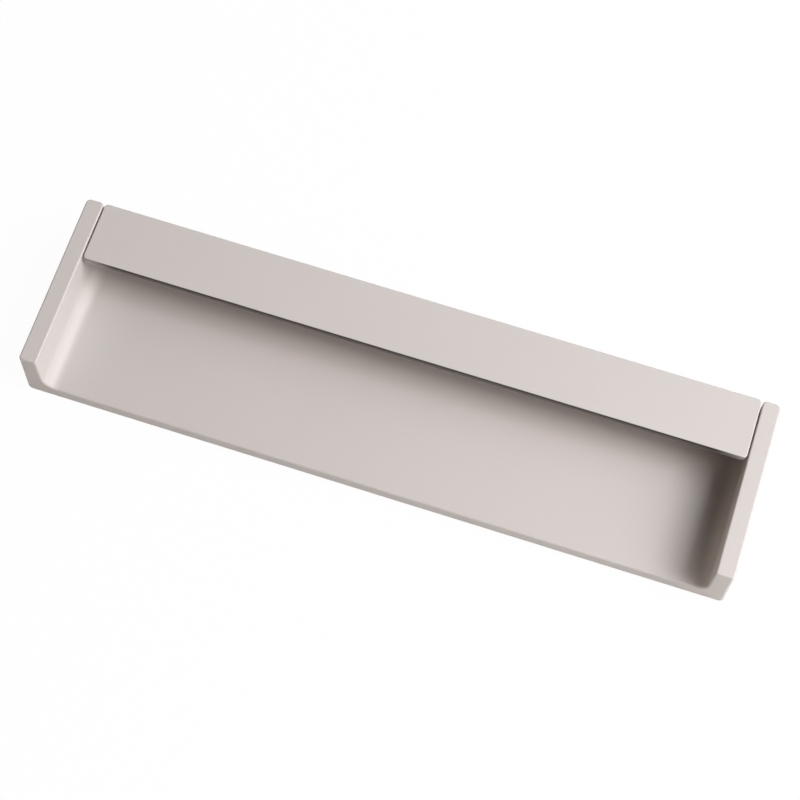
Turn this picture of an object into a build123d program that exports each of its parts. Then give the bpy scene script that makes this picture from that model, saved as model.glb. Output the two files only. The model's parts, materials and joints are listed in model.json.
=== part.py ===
"""Surface-mounted cup pull for drawers and doors, in two pieces: a cast tray and an L-section grip bar.

The handle lies on its mounting face. X runs along the handle, Y from the open finger edge to the edge that
the grip bar closes, and Z out of the furniture front. The origin is the middle of the mounting face.
All sizes are in millimetres, and angles in degrees.
"""

from build123d import *

import math
import os

# Overall size: the holes keep a standard spacing, and the handle ends a little beyond them
HOLE_SPACING = 160.0
HOLE_TO_END = 5.0
HEIGHT = 44.0
DEPTH = 17.0

# Tray: the back plate and the two end walls, which lean a little so that the casting leaves its mould
END_WALL = 4.25
BACK_PLATE = 4.2
DRAFT = 1.4
POCKET_FILLET = 3.5
BACK_CORNER = 1.3
WALL_TOP_OUTSIDE = 1.2
WALL_TOP_INSIDE = 0.9
MOUTH_ROUND = 0.5
FOOT_ROUND = 0.8
EDGE_ROUND = 0.4

# Grip bar: the lip that is seen from the front, and the web that closes the top
BAR_HEIGHT = 15.2
LIP_THICKNESS = 2.0
WEB_THICKNESS = 2.0
END_CLEARANCE = 0.3
BAR_CORNER = 1.0
BAR_INSIDE_CORNER = 0.5
BAR_EDGE_ROUND = 0.3

# Screw bosses, each with a blind M4 hole that opens in the mounting face
BOSS_DIAMETER = 7.0
BOSS_TO_BAR = 0.3
TAP_DRILL = 3.3
HOLE_CHAMFER = 0.4
DRILL_POINT = 118.0
BOSS_END_WALL = 3.0

# Core-out in the mounting face: a rim, cross ribs, and a pad round each screw hole
RIM_WIDTH = 3.2
FRONT_SKIN = 2.2
PAD_WALL = 3.0
RIB_THICKNESS = 1.6
RIB_COUNT = 5
CORE_CORNER = 1.0

# Places worked out from the sizes above
END_X = HOLE_SPACING / 2 + HOLE_TO_END
TOP_Y = HEIGHT / 2
WEB_Y = TOP_Y - WEB_THICKNESS
LIP_Y = TOP_Y - BAR_HEIGHT
LIP_Z = DEPTH - LIP_THICKNESS
SLOPE = math.tan(math.radians(DRAFT))
CORE_DEPTH = BACK_PLATE - FRONT_SKIN
BOSS_Y = WEB_Y - BAR_INSIDE_CORNER - BOSS_TO_BAR - BOSS_DIAMETER / 2
HOLE_PLACES = [(-HOLE_SPACING / 2, BOSS_Y), (HOLE_SPACING / 2, BOSS_Y)]

# Slack for picking the edges that lie on a known line or plane
ON_LINE = 1e-3


def wall_x(height):
    """Distance from the handle's middle to an end wall's inner face, at a height over the mounting face."""
    return END_X - END_WALL - (DEPTH - height) * SLOPE


def between_walls(clearance):
    """Outline of the space between the leaning end walls, seen along Y, less a clearance at each end."""
    foot_x = wall_x(0) - clearance
    front_x = wall_x(DEPTH) - clearance
    outline = Polyline(
        (-foot_x, 0),
        (foot_x, 0),
        (front_x, DEPTH),
        (-front_x, DEPTH),
        close=True,
    )
    return Plane.XZ * make_face(outline)


def tray_blank():
    """U-shaped section of the tray with its long roundings, run over the whole height of the handle."""
    outline = Polyline(
        (-END_X, 0),
        (END_X, 0),
        (END_X, DEPTH),
        (wall_x(DEPTH), DEPTH),
        (wall_x(BACK_PLATE), BACK_PLATE),
        (-wall_x(BACK_PLATE), BACK_PLATE),
        (-wall_x(DEPTH), DEPTH),
        (-END_X, DEPTH),
        close=True,
    )
    section = make_face(outline)
    section = fillet(section.vertices().filter_by_position(Axis.Y, 0, 0), BACK_CORNER)
    section = fillet(section.vertices().filter_by_position(Axis.Y, BACK_PLATE, BACK_PLATE), POCKET_FILLET)
    return extrude(Plane.XZ * section, HEIGHT / 2, both=True)


def web_slot():
    """Space between the end walls that the bar's web takes, above the upper edge of the back plate."""
    return Pos(0, WEB_Y, 0) * extrude(between_walls(0), -WEB_THICKNESS)


def round_wall_tops(tray):
    """Round the upper ends of the two end walls, first outside and then inside."""
    top_edges = tray.edges().filter_by_position(Axis.Y, TOP_Y, TOP_Y)
    outside = [edge for edge in top_edges if abs(abs(edge.center().X) - END_X) < ON_LINE]
    tray = fillet(outside, WALL_TOP_OUTSIDE)
    top_edges = tray.edges().filter_by_position(Axis.Y, TOP_Y, TOP_Y)
    inside = [
        edge
        for edge in top_edges
        if abs(edge.center().X) < wall_x(DEPTH) and edge.bounding_box().size.Z > LIP_Z / 2
    ]
    return fillet(inside, WALL_TOP_INSIDE)


def round_mouth(tray):
    """Round the inner edge of the open side, where fingers go in, from one front face to the other."""
    open_face = tray.faces().sort_by(Axis.Y)[0]
    mouth = [
        edge
        for edge in open_face.edges()
        if abs(edge.center().X) < wall_x(DEPTH) and edge.center().Z > BACK_PLATE / 2
    ]
    return fillet(mouth, MOUTH_ROUND)


def round_feet(tray):
    """Round the outer edge of the open side: down one foot, along the mounting face and up the other."""
    open_face = tray.faces().sort_by(Axis.Y)[0]
    outer = [
        edge
        for edge in open_face.edges()
        if abs(edge.center().X) > END_X - BACK_CORNER or edge.center().Z < BACK_PLATE / 2
    ]
    return fillet(outer, FOOT_ROUND)


def soften_front_faces(tray):
    """Soften all the edges of the two front faces of the end walls."""
    front_faces = tray.faces().filter_by_position(Axis.Z, DEPTH, DEPTH)
    return fillet(front_faces.edges(), EDGE_ROUND)


def bosses():
    """Round bosses that stand on the screw pads and reach the back of the lip, thinner towards the end."""
    height = LIP_Z - CORE_DEPTH
    end_radius = BOSS_DIAMETER / 2
    foot_radius = end_radius + height * SLOPE
    boss = Cone(foot_radius, end_radius, height, align=(Align.CENTER, Align.CENTER, Align.MIN))
    return [Pos(x, y, CORE_DEPTH) * boss for x, y in HOLE_PLACES]


def screw_holes():
    """Blind drilled holes with a small lead-in at the mounting face and the cone that the drill leaves."""
    radius = TAP_DRILL / 2
    tip_z = LIP_Z - BOSS_END_WALL
    cone_z = tip_z - radius / math.tan(math.radians(DRILL_POINT / 2))
    outline = Polyline(
        (0, 0),
        (radius + HOLE_CHAMFER, 0),
        (radius, HOLE_CHAMFER),
        (radius, cone_z),
        (0, tip_z),
        close=True,
    )
    hole = revolve(Plane.XZ * make_face(outline), Axis.Z)
    return [Pos(x, y, 0) * hole for x, y in HOLE_PLACES]


def core_out():
    """Shallow pockets in the mounting face, between the rim, the cross ribs and the screw pads."""
    low_y = RIM_WIDTH - TOP_Y
    high_y = WEB_Y - RIM_WIDTH
    core_length = 2 * (END_X - RIM_WIDTH)
    pitch = (core_length + RIB_THICKNESS) / (RIB_COUNT + 1)
    pocket = RectangleRounded(pitch - RIB_THICKNESS, high_y - low_y, CORE_CORNER)
    first_x = -(core_length + RIB_THICKNESS) / 2 + pitch / 2
    pads = [Pos(x, y) * Circle(TAP_DRILL / 2 + PAD_WALL) for x, y in HOLE_PLACES]
    sketches = [Pos(first_x + i * pitch, (low_y + high_y) / 2) * pocket for i in range(RIB_COUNT + 1)]
    return extrude(Sketch() + sketches - pads, CORE_DEPTH)


def build_tray():
    """The cast tray, with its bosses, screw holes and cored mounting face."""
    tray = round_wall_tops(tray_blank() - web_slot())
    tray = soften_front_faces(round_feet(round_mouth(tray)))
    return tray + bosses() - core_out() - screw_holes()


def build_grip_bar():
    """The L-section bar: its ends lean as the end walls do, and the edges that fingers meet are soft."""
    outline = Polyline(
        (TOP_Y, 0),
        (TOP_Y, DEPTH),
        (LIP_Y, DEPTH),
        (LIP_Y, LIP_Z),
        (WEB_Y, LIP_Z),
        (WEB_Y, 0),
        close=True,
    )
    section = make_face(outline)
    inside = section.vertices().filter_by_position(Axis.X, WEB_Y, WEB_Y).sort_by(Axis.Y)[-1]
    section = fillet(inside, BAR_INSIDE_CORNER)
    bar = extrude(Plane.YZ * section, END_X, both=True)
    bar = bar & extrude(between_walls(END_CLEARANCE), HEIGHT / 2, both=True)

    end_corners = [
        edge
        for face in (bar.faces().sort_by(Axis.X)[0], bar.faces().sort_by(Axis.X)[-1])
        for edge in face.edges()
        if abs(edge.center().Y - TOP_Y) < ON_LINE or abs(edge.center().Y - LIP_Y) < ON_LINE
    ]
    bar = fillet(end_corners, BAR_CORNER)
    front_edges = bar.faces().sort_by(Axis.Z)[-1].edges()
    grip_edge = bar.edges().filter_by_position(Axis.Z, LIP_Z, LIP_Z).filter_by(Axis.X).sort_by(Axis.Y)[0]
    seam_edge = bar.edges().filter_by_position(Axis.Z, 0, 0).filter_by(Axis.X).sort_by(Axis.Y)[-1]
    return fillet(front_edges + [grip_edge, seam_edge], BAR_EDGE_ROUND)


os.makedirs("parts", exist_ok=True)
export_step(build_tray(), "parts/tray.step")
export_step(build_grip_bar(), "parts/grip_bar.step")
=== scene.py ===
"""Looks of a powder-coated cup pull: the coat on its two pieces, the cut threads, and a studio.

The handle lies on its mounting face. X runs along it, Y from the open finger edge to the grip
bar, and Z upwards, out of the furniture front. Everything is in metres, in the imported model's
own frame.
"""

import json
import logging
import math
from dataclasses import dataclass, field
from enum import Enum

import bpy
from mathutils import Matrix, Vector

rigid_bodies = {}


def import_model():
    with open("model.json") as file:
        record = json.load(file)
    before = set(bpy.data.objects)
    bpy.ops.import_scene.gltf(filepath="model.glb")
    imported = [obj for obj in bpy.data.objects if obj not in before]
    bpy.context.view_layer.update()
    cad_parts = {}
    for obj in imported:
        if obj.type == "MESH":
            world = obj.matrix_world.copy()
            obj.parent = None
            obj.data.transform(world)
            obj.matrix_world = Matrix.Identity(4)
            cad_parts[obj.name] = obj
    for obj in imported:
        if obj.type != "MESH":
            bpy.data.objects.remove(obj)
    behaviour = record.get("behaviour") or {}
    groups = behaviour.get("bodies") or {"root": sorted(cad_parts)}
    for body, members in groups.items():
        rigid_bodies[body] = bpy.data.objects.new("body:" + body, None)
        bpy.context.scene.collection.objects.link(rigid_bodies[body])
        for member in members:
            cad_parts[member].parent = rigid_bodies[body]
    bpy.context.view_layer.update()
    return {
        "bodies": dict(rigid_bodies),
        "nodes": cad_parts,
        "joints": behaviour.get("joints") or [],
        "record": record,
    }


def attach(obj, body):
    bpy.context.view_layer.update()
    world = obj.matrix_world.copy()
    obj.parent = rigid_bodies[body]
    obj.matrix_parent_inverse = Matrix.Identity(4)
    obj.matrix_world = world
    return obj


MM = 0.001
LOG = logging.getLogger("cup_pull")

Colour = tuple[float, float, float]
Shade = tuple[float, float, float, float]
Place = tuple[float, float, float]
Socket = bpy.types.NodeSocket

NUMBER = "NodeSocketFloat"
COLOUR = "NodeSocketColor"
WHITE: Shade = (1.0, 1.0, 1.0, 1.0)


class Node(Enum):
    """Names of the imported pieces, as the frame knows them."""

    TRAY = "tray"
    GRIP_BAR = "grip_bar"


class Slot(Enum):
    """Names of the record's material slots."""

    COAT = "powder_coat"


class Body(Enum):
    """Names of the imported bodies."""

    WHOLE = "root"


# Colours, objects and node trees


def linear(colour: Colour) -> Shade:
    """Turn a colour as seen on a screen into linear values, by the sRGB standard's curve.

    Args:
        colour: Red, green and blue from 0 to 1, as seen on a screen.

    Returns:
        Linear red, green and blue, and an alpha of 1.
    """
    parts = [c / 12.92 if c <= 0.04045 else ((c + 0.055) / 1.055) ** 2.4 for c in colour]
    return (*parts, 1.0)


def new_object(name: str, data: bpy.types.ID) -> bpy.types.Object:
    """Make an object and link it to the scene.

    Args:
        name: The object's name.
        data: Its mesh, lamp or camera.

    Returns:
        The object.
    """
    made = bpy.data.objects.new(name, data)
    bpy.context.scene.collection.objects.link(made)
    return made


class Tree:
    """A short way to add nodes to a shader or geometry tree and to wire them up."""

    def __init__(self, tree: bpy.types.NodeTree) -> None:
        """Work on an existing tree.

        Args:
            tree: The tree that gets the nodes.
        """
        self.tree = tree

    @classmethod
    def emptied(cls, owner: bpy.types.Material | bpy.types.World) -> "Tree":
        """Switch a material or a world to nodes, and take out the ones it comes with.

        Args:
            owner: The material or world.

        Returns:
            Its empty tree.
        """
        owner.use_nodes = True
        owner.node_tree.nodes.clear()
        return cls(owner.node_tree)

    def add(self, kind: str, values: dict | None = None, **settings: object) -> bpy.types.Node:
        """Add one node, set its properties, and fill or wire its inputs.

        Args:
            kind: The node's type name.
            values: Input name or index to a constant, or to the output socket that feeds it.
            **settings: Properties of the node, such as an operation.

        Returns:
            The new node.
        """
        node = self.tree.nodes.new(kind)
        for name, value in settings.items():
            setattr(node, name, value)
        for key, value in (values or {}).items():
            if isinstance(value, Socket):
                self.tree.links.new(value, node.inputs[key])
            else:
                node.inputs[key].default_value = value
        return node

    def math(self, operation: str, *values: float | Socket) -> Socket:
        """Add one Math node.

        Args:
            operation: The node's operation.
            *values: Its inputs in order, each a number or the socket that feeds it.

        Returns:
            Its result.
        """
        return self.add("ShaderNodeMath", dict(enumerate(values)), operation=operation).outputs[0]

    def ramp(self, value: Socket, start: float, stop: float, first: float, last: float) -> Socket:
        """Add a Map Range node, which holds its result steady outside the range.

        Args:
            value: The socket that is mapped.
            start: The value where the result is still the first one.
            stop: The value where the result has become the last one.
            first: The first result.
            last: The last result.

        Returns:
            Its result.
        """
        values = {0: value, 1: start, 2: stop, 3: first, 4: last}
        return self.add("ShaderNodeMapRange", values).outputs[0]

    def mix(self, share: Socket, base: Socket, other: Socket | Shade) -> Socket:
        """Add a Mix node for two colours.

        Args:
            share: How much of the other colour shows, from 0 to 1.
            base: The colour that shows where the share is 0.
            other: The colour that shows where the share is 1.

        Returns:
            The mixed colour.
        """
        values = {"Factor": share, 6: base, 7: other}
        return self.add("ShaderNodeMix", values, data_type="RGBA").outputs[2]

    def vector(self, *parts: float | Socket) -> Socket:
        """Add a Combine XYZ node.

        Args:
            *parts: X, Y and Z, each a number or the socket that feeds it. What is left out is 0.

        Returns:
            The vector.
        """
        return self.add("ShaderNodeCombineXYZ", dict(enumerate(parts))).outputs[0]


def new_group(
    name: str, kind: str, inputs: dict[str, str], outputs: dict[str, str]
) -> tuple[bpy.types.NodeTree, bpy.types.Node, bpy.types.Node]:
    """Make an empty node group with named sockets.

    Args:
        name: The group's name.
        kind: The tree's type name.
        inputs: Socket name to its type.
        outputs: Socket name to its type.

    Returns:
        The tree, its input node and its output node.
    """
    tree = bpy.data.node_groups.new(name, kind)
    for way, sockets in (("INPUT", inputs), ("OUTPUT", outputs)):
        for label, socket in sockets.items():
            tree.interface.new_socket(name=label, in_out=way, socket_type=socket)
    return tree, tree.nodes.new("NodeGroupInput"), tree.nodes.new("NodeGroupOutput")


# Finishes


@dataclass(frozen=True)
class SurfaceGrain:
    """The unevenness that both finishes share: a small grain, wide mottling, and rare specks.

    A speck's core and rim are shares of its size, and its height counts in heights of the grain.
    """

    grain_detail: float = 1.0
    mottle_detail: float = 3.0
    speck_core: float = 0.6
    speck_rim: float = 1.2
    speck_chance: float = 0.5
    speck_height: float = 2.0

    def tree(self) -> bpy.types.NodeTree:
        """Build the nodes.

        Returns:
            The shader group. It puts out a colour, a roughness and a height.
        """
        tree, given, result = new_group(
            "surface_grain",
            "ShaderNodeTree",
            {
                "Colour": COLOUR,
                "Speck Colour": COLOUR,
                "Roughness": NUMBER,
                "Roughness Spread": NUMBER,
                "Grain Size": NUMBER,
                "Mottle": NUMBER,
                "Mottle Size": NUMBER,
                "Speck Spacing": NUMBER,
                "Speck Size": NUMBER,
            },
            {"Colour": COLOUR, "Roughness": NUMBER, "Height": NUMBER},
        )
        make = Tree(tree)
        size = given.outputs
        place = make.add("ShaderNodeTexCoord").outputs["Object"]

        def noise(width: Socket, detail: float) -> Socket:
            """Noise whose features are about as wide as a size that is given in metres.

            Args:
                width: The socket with the size.
                detail: Number of finer layers.

            Returns:
                The noise, from 0 to 1.
            """
            values = {"Vector": place, "Scale": make.math("DIVIDE", 1.0, width), "Detail": detail}
            return make.add("ShaderNodeTexNoise", values).outputs[0]

        grain = noise(size["Grain Size"], self.grain_detail)
        swing = make.math("SUBTRACT", noise(size["Mottle Size"], self.mottle_detail), 0.5)
        tint = make.math("MULTIPLY_ADD", swing, size["Mottle"], 1.0)
        toned = make.add(
            "ShaderNodeVectorMath", {0: size["Colour"], "Scale": tint}, operation="SCALE"
        )

        density = make.math("DIVIDE", 1.0, size["Speck Spacing"])
        cells = make.add("ShaderNodeTexVoronoi", {"Vector": place, "Scale": density}, feature="F1")
        reach = make.math("DIVIDE", size["Speck Size"], size["Speck Spacing"])
        near = make.math("DIVIDE", cells.outputs["Distance"], reach)
        spot = make.ramp(near, self.speck_core, self.speck_rim, 1.0, 0.0)
        draw = make.add("ShaderNodeSeparateColor", {0: cells.outputs["Color"]}).outputs[0]
        speck = make.math("MULTIPLY", spot, make.math("GREATER_THAN", draw, self.speck_chance))

        made = {
            "Colour": make.mix(speck, toned.outputs[0], size["Speck Colour"]),
            "Roughness": make.math(
                "MULTIPLY_ADD", swing, size["Roughness Spread"], size["Roughness"]
            ),
            "Height": make.math("MULTIPLY_ADD", speck, self.speck_height, grain),
        }
        for label, socket in made.items():
            tree.links.new(socket, result.inputs[label])
        return tree


@dataclass(frozen=True)
class Finish:
    """A surface with the shared grain on it."""

    name: str
    colour: Colour
    speck: Colour
    roughness: float
    grain_size: float
    mottle: float
    mottle_size: float
    roughness_spread: float = 0.05
    speck_spacing: float = 20.0 * MM
    speck_size: float = 0.12 * MM
    grain_depth: float = 0.004 * MM
    metallic: float = 0.0

    def material(self, grain: bpy.types.NodeTree) -> bpy.types.Material:
        """Make the surface's material.

        Args:
            grain: The shared group that gives the surface its texture.

        Returns:
            The material.
        """
        made = bpy.data.materials.new(self.name)
        make = Tree.emptied(made)
        texture = make.add(
            "ShaderNodeGroup",
            {
                "Colour": linear(self.colour),
                "Speck Colour": linear(self.speck),
                "Roughness": self.roughness,
                "Roughness Spread": self.roughness_spread,
                "Grain Size": self.grain_size,
                "Mottle": self.mottle,
                "Mottle Size": self.mottle_size,
                "Speck Spacing": self.speck_spacing,
                "Speck Size": self.speck_size,
            },
            node_tree=grain,
        ).outputs
        bump = make.add(
            "ShaderNodeBump",
            {"Strength": 1.0, "Distance": self.grain_depth, "Height": texture["Height"]},
        )
        shader = make.add(
            "ShaderNodeBsdfPrincipled",
            {
                "Base Color": self.shade(make, texture["Colour"]),
                "Roughness": texture["Roughness"],
                "Normal": bump.outputs["Normal"],
                "Metallic": self.metallic,
            },
        )
        make.add("ShaderNodeOutputMaterial", {"Surface": shader.outputs[0]})
        return made

    def shade(self, make: Tree, colour: Socket) -> Socket:
        """Leave the surface's colour as it is, where a finish has no painted shade.

        Args:
            make: The material's tree.
            colour: The surface's colour.

        Returns:
            The colour to show.
        """
        return colour


@dataclass(frozen=True)
class PowderCoat(Finish):
    """A baked powder coat: satin, warm and pale, with a grain that shows only close up."""

    colour: Colour = (0.764, 0.735, 0.7225)
    speck: Colour = (0.6, 0.565, 0.55)
    roughness: float = 0.48
    grain_size: float = 0.35 * MM
    mottle: float = 0.03
    mottle_size: float = 14.0 * MM
    speck_spacing: float = 16.0 * MM


@dataclass(frozen=True)
class BarCoatWithPaintedShade(PowderCoat):
    """The grip bar's coat, with painted shade: a dark line under the lip, along the edge that the
    fingers pull on, standing in for the shade there.

    The facings say how far the surface looks down the bar's height: -1 is straight down.
    """

    # Painted shade: the colour that the lip's underside is darkened towards, in place of the shade
    # there.
    edge: Colour = (0.1, 0.06, 0.035)
    full_facing: float = -0.85
    no_facing: float = -0.45
    lip_top: float = 8.0 * MM
    depth_start: float = 16.0 * MM
    depth_stop: float = 16.4 * MM
    depth_share: float = 0.8
    # Towards the bar's ends the painted shade is weaker, for the light that the end walls throw
    # onto the lip.
    end_start: float = 73.0 * MM
    end_stop: float = 80.0 * MM
    end_share: float = 0.3

    def shade(self, make: Tree, colour: Socket) -> Socket:
        """Paint shade on what faces down on the lip, weaker towards its ends, where the end walls
        light it, and a little weaker behind its front edge.

        Args:
            make: The material's tree.
            colour: The coat's colour.

        Returns:
            The colour to show.
        """
        here = make.add("ShaderNodeTexCoord").outputs
        place = make.add("ShaderNodeSeparateXYZ", {0: here["Object"]}).outputs
        facing = make.add("ShaderNodeSeparateXYZ", {0: here["Normal"]}).outputs["Y"]
        along = make.math("ABSOLUTE", place["X"])
        down = make.ramp(facing, self.full_facing, self.no_facing, 1.0, 0.0)
        on_lip = make.math("LESS_THAN", place["Y"], self.lip_top)
        ends = make.ramp(along, self.end_start, self.end_stop, 1.0, self.end_share)
        depth = make.ramp(place["Z"], self.depth_start, self.depth_stop, self.depth_share, 1.0)
        # The share is the painted shade's mask, from 0 to 1.
        share = make.math("MULTIPLY", make.math("MULTIPLY", down, on_lip), ends)
        share = make.math("MULTIPLY", share, depth)
        return make.mix(share, colour, linear(self.edge))


@dataclass(frozen=True)
class BareZinc(Finish):
    """Zinc as the tap leaves it: bright, with fine cutting marks and no coloured specks."""

    name: str = "cut_zinc"
    colour: Colour = (0.78, 0.775, 0.76)
    speck: Colour = (0.78, 0.775, 0.76)
    roughness: float = 0.35
    grain_size: float = 0.08 * MM
    mottle: float = 0.15
    mottle_size: float = 1.0 * MM
    roughness_spread: float = 0.3
    metallic: float = 1.0


# Pieces


@dataclass
class Casting:
    """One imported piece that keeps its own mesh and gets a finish."""

    node: Node
    coat: PowderCoat

    def dress(self, frame: dict, grain: bpy.types.NodeTree) -> bpy.types.Object:
        """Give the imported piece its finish.

        Args:
            grain: The shared group that gives the coat its texture.

        Returns:
            The piece.
        """
        piece = frame["nodes"][self.node.value]
        piece.material_slots[0].material = self.coat.material(grain)
        return piece


@dataclass
class ScrewThreads:
    """The tapped thread in each screw hole, as a ridge that winds up the drilled hole's wall.

    The ridge stands out of the wall, and its root lies in it. Steps count for each turn.
    """

    pitch: float = 0.7 * MM
    ridge: float = 0.11 * MM
    root: float = 0.08 * MM
    start: float = 0.75 * MM
    length: float = 9.1 * MM
    steps: int = 28
    holes: int = 2
    metal: BareZinc = field(default_factory=BareZinc)

    def tree(self) -> bpy.types.NodeTree:
        """Build the nodes: one ridge along a spiral, copied to each hole of the row.

        Returns:
            The geometry group, with the sizes as named inputs.
        """
        tree, given, result = new_group(
            "screw_threads",
            "GeometryNodeTree",
            {
                "Hole Radius": NUMBER,
                "Hole Spacing": NUMBER,
                "Row": NUMBER,
                "Start": NUMBER,
                "Length": NUMBER,
                "Pitch": NUMBER,
                "Ridge": NUMBER,
                "Root": NUMBER,
                "Steps": "NodeSocketInt",
                "Holes": "NodeSocketInt",
                "Metal": "NodeSocketMaterial",
            },
            {"Geometry": "NodeSocketGeometry"},
        )
        make = Tree(tree)
        size = given.outputs
        spiral = make.add(
            "GeometryNodeCurveSpiral",
            {
                "Resolution": size["Steps"],
                "Rotations": make.math("DIVIDE", size["Length"], size["Pitch"]),
                "Start Radius": size["Hole Radius"],
                "End Radius": size["Hole Radius"],
                "Height": size["Length"],
            },
        )
        upright = make.add(
            "GeometryNodeSetCurveNormal", {"Curve": spiral.outputs[0]}, mode="Z_UP"
        )
        section = make.add(
            "GeometryNodeCurvePrimitiveQuadrilateral",
            {
                "Point 1": make.vector(0.0, make.math("MULTIPLY", size["Pitch"], 0.5)),
                "Point 2": make.vector(make.math("MULTIPLY", size["Ridge"], -1.0), 0.0),
                "Point 3": make.vector(0.0, make.math("MULTIPLY", size["Pitch"], -0.5)),
                "Point 4": make.vector(size["Root"], 0.0),
            },
            mode="POINTS",
        )
        ridge = make.add(
            "GeometryNodeCurveToMesh",
            {"Curve": upright.outputs[0], "Profile Curve": section.outputs[0], "Fill Caps": True},
        )
        gaps = make.math("SUBTRACT", size["Holes"], 1.0)
        row_length = make.math("MULTIPLY", size["Hole Spacing"], gaps)
        first = make.math("MULTIPLY", row_length, -0.5)
        places = make.add(
            "GeometryNodeMeshLine",
            {
                "Count": size["Holes"],
                "Start Location": make.vector(first, size["Row"], size["Start"]),
                "Offset": make.vector(size["Hole Spacing"]),
            },
        )
        copies = make.add(
            "GeometryNodeInstanceOnPoints",
            {"Points": places.outputs[0], "Instance": ridge.outputs[0]},
        )
        solid = make.add("GeometryNodeRealizeInstances", {0: copies.outputs[0]})
        dressed = make.add(
            "GeometryNodeSetMaterial", {"Geometry": solid.outputs[0], "Material": size["Metal"]}
        )
        tree.links.new(dressed.outputs[0], result.inputs["Geometry"])
        return tree

    def build(self, frame: dict, grain: bpy.types.NodeTree) -> bpy.types.Object:
        """Make the threads where the record puts the screw holes.

        Args:
            grain: The shared group that gives the metal its texture.

        Returns:
            The threads, as one plain mesh.
        """
        mounts = frame["record"]["mounts"]
        pattern = next(mount for mount in mounts if mount["kind"] == "bolt_pattern")
        metal = self.metal.material(grain)
        values = {
            "Hole Radius": pattern["dims"]["hole_r_mm"] * MM,
            "Hole Spacing": pattern["dims"]["spacing_x_mm"] * MM,
            "Row": pattern["pos_m"][1],
            "Start": self.start,
            "Length": self.length,
            "Pitch": self.pitch,
            "Ridge": self.ridge,
            "Root": self.root,
            "Steps": self.steps,
            "Holes": self.holes,
            "Metal": metal,
        }
        tree = self.tree()
        seed = new_object("thread_seed", bpy.data.meshes.new("thread_seed"))
        winding = seed.modifiers.new("threads", "NODES")
        winding.node_group = tree
        for item in tree.interface.items_tree:
            if item.in_out == "INPUT":
                winding[item.identifier] = values[item.name]
        ready = seed.evaluated_get(bpy.context.evaluated_depsgraph_get())
        mesh = bpy.data.meshes.new_from_object(ready)
        mesh.materials.clear()
        mesh.materials.append(metal)
        mesh.polygons.foreach_set("material_index", [0] * len(mesh.polygons))
        bpy.data.objects.remove(seed)
        threads = new_object("screw_threads", mesh)
        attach(threads, Body.WHOLE.value)
        return threads


# Studio


@dataclass(frozen=True)
class SoftBox:
    """A square or oblong lamp that faces the handle, with its angles in degrees."""

    name: str
    azimuth: float
    elevation: float
    power: float
    colour: Colour
    width: float = 0.4
    height: float = 0.4
    distance: float = 0.9
    target: Place = (0.0, 0.0, 0.005)

    def build(self) -> bpy.types.Object:
        """Make the lamp and turn it to its target.

        Returns:
            The lamp.
        """
        data = bpy.data.lights.new(self.name, "AREA")
        data.shape = "RECTANGLE"
        data.size = self.width
        data.size_y = self.height
        data.energy = self.power
        data.color = self.colour
        lamp = new_object(self.name, data)
        turn, rise = math.radians(self.azimuth), math.radians(self.elevation)
        flat = math.cos(rise)
        way = Vector((flat * math.cos(turn), flat * math.sin(turn), math.sin(rise)))
        lamp.location = Vector(self.target) + self.distance * way
        lamp.rotation_euler = (-way).to_track_quat("-Z", "Y").to_euler()
        return lamp


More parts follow.
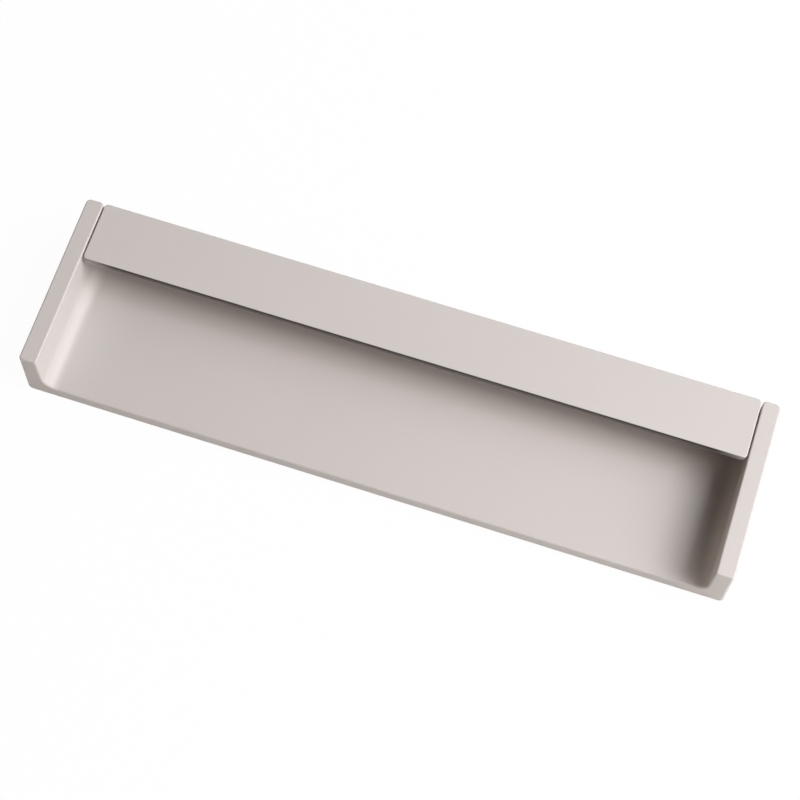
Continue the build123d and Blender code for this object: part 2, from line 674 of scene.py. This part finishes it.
@dataclass
class Studio:
    """Pale floor, soft lamps, and a camera where the photographer stood.

    The camera's turn is in degrees, and its lens and sensor are in millimetres.
    """

    camera_place: Place = (0.050835, -0.186773, 0.462677)
    camera_turn: Place = (22.9645, -1.1527, 17.8649)
    lens: float = 95.301
    sensor: float = 36.0
    nearest: float = 10.0 * MM
    floor_half: float = 3.0
    floor_colour: Colour = (0.895, 0.893, 0.885)
    floor_glow: float = 0.97
    air: float = 0.03
    lamps: list[SoftBox] = field(
        default_factory=lambda: [
            SoftBox("key", 0.0, 50.0, 4.68, (0.99, 0.99, 1.0)),
            SoftBox("key_low", 0.0, 38.0, 2.5, (0.96, 0.985, 1.0)),
            SoftBox("key_rear", 36.0, 50.0, 1.78, (0.86, 0.945, 1.0)),
            SoftBox("key_front", -36.0, 50.0, 1.31, (1.0, 0.90, 0.85)),
            SoftBox("low", 0.0, 28.0, 1.09, (0.92, 0.98, 1.0)),
            SoftBox("low_front", -26.0, 28.0, 1.27, (0.99, 1.0, 0.98)),
            SoftBox("front", -60.0, 20.0, 1.22, (1.0, 0.935, 0.885)),
            SoftBox("rim", 80.0, 12.0, 1.36, (0.94, 0.99, 1.0), height=0.3),
            SoftBox("rear", 110.0, 35.0, 0.78, (1.0, 0.92, 0.86)),
            SoftBox("fill", 180.0, 20.0, 1.48, (1.0, 0.86, 0.70), width=0.8, height=0.5),
        ]
    )

    def build_camera(self) -> bpy.types.Object:
        """Place the camera, whose frame is a square picture.

        Returns:
            The camera.
        """
        data = bpy.data.cameras.new("photo_camera")
        data.lens = self.lens
        data.sensor_width = self.sensor
        data.clip_start = self.nearest
        camera = new_object("photo_camera", data)
        camera.location = self.camera_place
        camera.rotation_euler = [math.radians(angle) for angle in self.camera_turn]
        bpy.context.scene.camera = camera
        return camera

    def floor_material(self) -> bpy.types.Material:
        """Make the floor's card, which looks nearly white where nothing shades it.

        Returns:
            The material.
        """
        made = bpy.data.materials.new("pale_card")
        make = Tree.emptied(made)
        card = make.add("ShaderNodeBsdfDiffuse", {"Color": linear(self.floor_colour)})
        glow = make.add("ShaderNodeEmission", {"Color": WHITE, "Strength": 1.0})
        path = make.add("ShaderNodeLightPath")
        share = make.math("MULTIPLY", path.outputs["Is Camera Ray"], self.floor_glow)
        mix = make.add("ShaderNodeMixShader", {0: share, 1: card.outputs[0], 2: glow.outputs[0]})
        make.add("ShaderNodeOutputMaterial", {"Surface": mix.outputs[0]})
        return made

    def build_floor(self) -> bpy.types.Object:
        """Lay the floor under the mounting face.

        Returns:
            The floor.
        """
        half = self.floor_half
        corners = [(-half, -half, 0.0), (half, -half, 0.0), (half, half, 0.0), (-half, half, 0.0)]
        mesh = bpy.data.meshes.new("floor")
        mesh.from_pydata(corners, [], [(0, 1, 2, 3)])
        mesh.materials.append(self.floor_material())
        floor = new_object("floor", mesh)
        return floor

    def build_air(self) -> None:
        """Fill the room with a weak even light, and show white to the camera."""
        world = bpy.data.worlds.new("studio_air")
        make = Tree.emptied(world)
        path = make.add("ShaderNodeLightPath")
        strength = make.ramp(path.outputs["Is Camera Ray"], 0.0, 1.0, self.air, 1.0)
        light = make.add("ShaderNodeBackground", {"Color": WHITE, "Strength": strength})
        make.add("ShaderNodeOutputWorld", {"Surface": light.outputs[0]})
        bpy.context.scene.world = world

    def build(self) -> None:
        """Set up the whole studio."""
        self.build_camera()
        self.build_floor()
        self.build_air()
        for lamp in self.lamps:
            lamp.build()
        bpy.context.scene.view_settings.view_transform = "Standard"


def main() -> None:
    """Load the frame, dress its pieces, and set up the studio."""
    logging.basicConfig(level=logging.INFO, format="%(name)s: %(message)s")
    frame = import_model()
    grain = SurfaceGrain().tree()
    castings = [
        Casting(Node.TRAY, PowderCoat("tray_coat")),
        Casting(Node.GRIP_BAR, BarCoatWithPaintedShade("bar_coat_with_painted_shade")),
    ]
    for casting in castings:
        LOG.info("dressed %s", casting.dress(frame, grain).name)
    threads = ScrewThreads().build(frame, grain)
    LOG.info("wound %s with %d faces", threads.name, len(threads.data.polygons))
    Studio().build()


if __name__ == "__main__":
    main()
